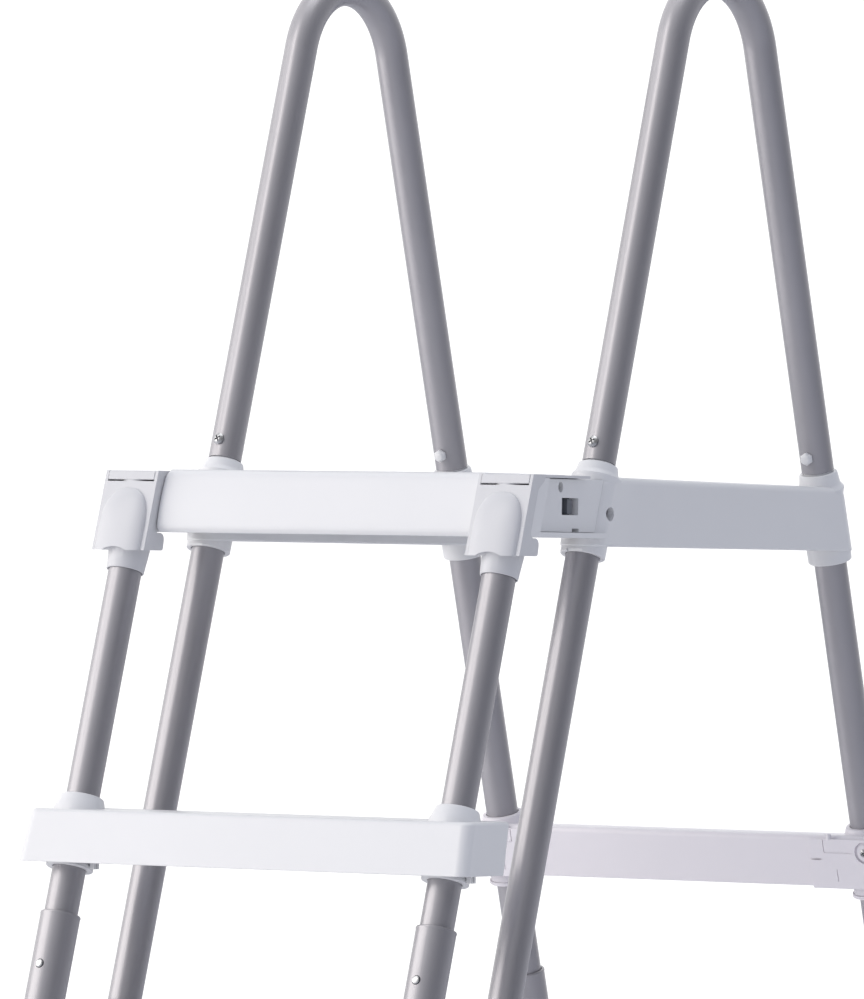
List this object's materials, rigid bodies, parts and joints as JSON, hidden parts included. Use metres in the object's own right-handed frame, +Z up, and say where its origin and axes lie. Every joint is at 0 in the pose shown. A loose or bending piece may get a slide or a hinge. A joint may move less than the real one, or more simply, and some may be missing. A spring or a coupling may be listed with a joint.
{
  "type": "pool ladder",
  "caption": "A-frame ladder for an above-ground pool: platform, looped handrails, moulded steps on both sides and an entry section that pulls off.",
  "frame": {"origin": "on the ground, in the middle of the ladder's footprint", "axes": "+X to the right as seen from the entry side, +Y towards the pool, +Z up"},
  "size_m": [0.504, 1.382, 1.781],
  "materials": {
    "white_plastic": "satin moulded polypropylene, fine grain",
    "pool_step_plastic": "satin moulded polypropylene, slightly greyer",
    "powder_coated_tube": "satin warm grey powder coat",
    "zinc_steel": "bright zinc plate",
    "grey_plastic": "matt grey",
    "foot_rubber": "matt pale grey"
  },
  "bodies": {
    "frame": {"handrail_left": "powder_coated_tube", "rail_bolt_front_left": "zinc_steel", "rail_nut_front_left": "white_plastic", "rail_bolt_rear_left": "zinc_steel", "rail_nut_rear_left": "white_plastic", "platform_side_left": "white_plastic", "latch_panel_left": "white_plastic", "front_leg_upper_left": "powder_coated_tube", "front_leg_lower_left": "powder_coated_tube", "front_leg_foot_left": "foot_rubber", "rear_leg_upper_left": "powder_coated_tube", "rear_leg_lower_left": "powder_coated_tube", "rear_leg_foot_left": "foot_rubber", "pool_step_top_clamp_left": "pool_step_plastic", "pool_step_middle_clamp_left": "pool_step_plastic", "pool_step_bottom_clamp_left": "pool_step_plastic", "handrail_right": "powder_coated_tube", "rail_bolt_front_right": "zinc_steel", "rail_nut_front_right": "white_plastic", "rail_bolt_rear_right": "zinc_steel", "rail_nut_rear_right": "white_plastic", "platform_side_right": "white_plastic", "latch_panel_right": "white_plastic", "front_leg_upper_right": "powder_coated_tube", "front_leg_lower_right": "powder_coated_tube", "front_leg_foot_right": "foot_rubber", "rear_leg_upper_right": "powder_coated_tube", "rear_leg_lower_right": "powder_coated_tube", "rear_leg_foot_right": "foot_rubber", "pool_step_top_clamp_right": "pool_step_plastic", "pool_step_middle_clamp_right": "pool_step_plastic", "pool_step_bottom_clamp_right": "pool_step_plastic", "platform_deck": "white_plastic", "pool_step_top": "pool_step_plastic", "pool_step_middle": "pool_step_plastic", "pool_step_bottom": "pool_step_plastic", "front_base_bar": "powder_coated_tube", "rear_base_bar": "powder_coated_tube"},
    "entry_section": {"stringer_upper_left": "powder_coated_tube", "stringer_lower_left": "powder_coated_tube", "stringer_foot_left": "foot_rubber", "stringer_upper_right": "powder_coated_tube", "stringer_lower_right": "powder_coated_tube", "stringer_foot_right": "foot_rubber", "hanger_cap_left": "white_plastic", "hanger_cap_right": "white_plastic", "entry_step_top": "white_plastic", "entry_step_middle": "white_plastic", "entry_step_bottom": "white_plastic"},
    "latch_lid_left": {"latch_lid_left": "white_plastic"},
    "latch_pawl_left": {"latch_pawl_left": "grey_plastic"},
    "front_leg_button_left": {"front_leg_button_left": "zinc_steel"},
    "rear_leg_button_left": {"rear_leg_button_left": "zinc_steel"},
    "stringer_button_left": {"stringer_button_left": "zinc_steel"},
    "latch_lid_right": {"latch_lid_right": "white_plastic"},
    "latch_pawl_right": {"latch_pawl_right": "grey_plastic"},
    "front_leg_button_right": {"front_leg_button_right": "zinc_steel"},
    "rear_leg_button_right": {"rear_leg_button_right": "zinc_steel"},
    "stringer_button_right": {"stringer_button_right": "zinc_steel"}
  },
  "joints": [
    {"name": "section_pull_off", "type": "slide", "parent": "frame", "child": "entry_section", "axis": [0, -1, 0], "range_m": [0, 0.15]},
    {"name": "lid_lift_left", "type": "hinge", "parent": "frame", "child": "latch_lid_left", "pos_m": [-0.211, -0.1872, 1.2833], "axis": [-1, 0, 0], "range_deg": [0, 30], "stiffness_Nm_per_rad": 0.3},
    {"name": "pawl_slide_left", "type": "slide", "parent": "frame", "child": "latch_pawl_left", "axis": [0, 1, 0], "range_m": [0, 0.004]},
    {"name": "front_leg_button_press_left", "type": "slide", "parent": "frame", "child": "front_leg_button_left", "axis": [0, 0.9578, -0.2873], "range_m": [0, 0.004], "stiffness_N_per_m": 600},
    {"name": "rear_leg_button_press_left", "type": "slide", "parent": "frame", "child": "rear_leg_button_left", "axis": [0, -0.9578, -0.2873], "range_m": [0, 0.004], "stiffness_N_per_m": 600},
    {"name": "stringer_button_press_left", "type": "slide", "parent": "entry_section", "child": "stringer_button_left", "axis": [0, 0.9578, -0.2873], "range_m": [0, 0.004], "stiffness_N_per_m": 600},
    {"name": "lid_lift_right", "type": "hinge", "parent": "frame", "child": "latch_lid_right", "pos_m": [0.211, -0.1872, 1.2833], "axis": [-1, 0, 0], "range_deg": [0, 30], "stiffness_Nm_per_rad": 0.3},
    {"name": "pawl_slide_right", "type": "slide", "parent": "frame", "child": "latch_pawl_right", "axis": [0, 1, 0], "range_m": [0, 0.004]},
    {"name": "front_leg_button_press_right", "type": "slide", "parent": "frame", "child": "front_leg_button_right", "axis": [0, 0.9578, -0.2873], "range_m": [0, 0.004], "stiffness_N_per_m": 600},
    {"name": "rear_leg_button_press_right", "type": "slide", "parent": "frame", "child": "rear_leg_button_right", "axis": [0, -0.9578, -0.2873], "range_m": [0, 0.004], "stiffness_N_per_m": 600},
    {"name": "stringer_button_press_right", "type": "slide", "parent": "entry_section", "child": "stringer_button_right", "axis": [0, 0.9578, -0.2873], "range_m": [0, 0.004], "stiffness_N_per_m": 600}
  ],
  "couplings": [
    {"joint": "pawl_slide_left", "follows": "lid_lift_left", "m_per_rad": 0.0076},
    {"joint": "pawl_slide_right", "follows": "lid_lift_right", "m_per_rad": 0.0076}
  ]
}
